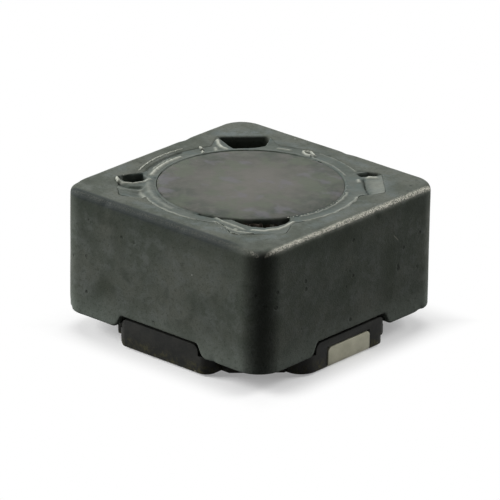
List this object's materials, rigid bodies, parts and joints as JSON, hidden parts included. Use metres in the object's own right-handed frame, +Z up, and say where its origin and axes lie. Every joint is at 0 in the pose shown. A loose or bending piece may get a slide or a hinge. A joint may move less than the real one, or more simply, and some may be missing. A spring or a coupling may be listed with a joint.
{
  "type": "shielded surface-mount power inductor",
  "caption": "Low square power inductor: a wound drum core inside a square ferrite shield, on a moulded header with tinned terminal clips for soldering to a circuit board.",
  "frame": {"origin": "middle of the footprint, on the circuit board that the terminal pads rest on", "axes": "+Z up from the board through the drum core, +X through the start terminal, -X through the finish terminal, +Y and -Y through the plain sides"},
  "size_m": [0.0126, 0.0126, 0.0069],
  "materials": {
    "shield_ferrite": "sintered ferrite, dark grey, tumbled and slightly rough",
    "core_ferrite": "sintered ferrite, ground flat, cloudy dark grey",
    "enamelled_copper": "copper wire in clear red-brown enamel",
    "header_plastic": "moulded black thermoset",
    "tinned_metal": "matte tin plating",
    "solder": "satin solder",
    "epoxy": "cured grey epoxy, semi-gloss, uneven",
    "bond_adhesive": "cured adhesive film"
  },
  "bodies": {
    "root": {"shield": "shield_ferrite", "drum_core": "core_ferrite", "winding": "enamelled_copper", "header": "header_plastic", "start_terminal": "tinned_metal", "finish_terminal": "tinned_metal", "start_solder": "solder", "finish_solder": "solder", "gap_epoxy": "epoxy", "core_bond": "bond_adhesive"}
  },
  "joints": []
}
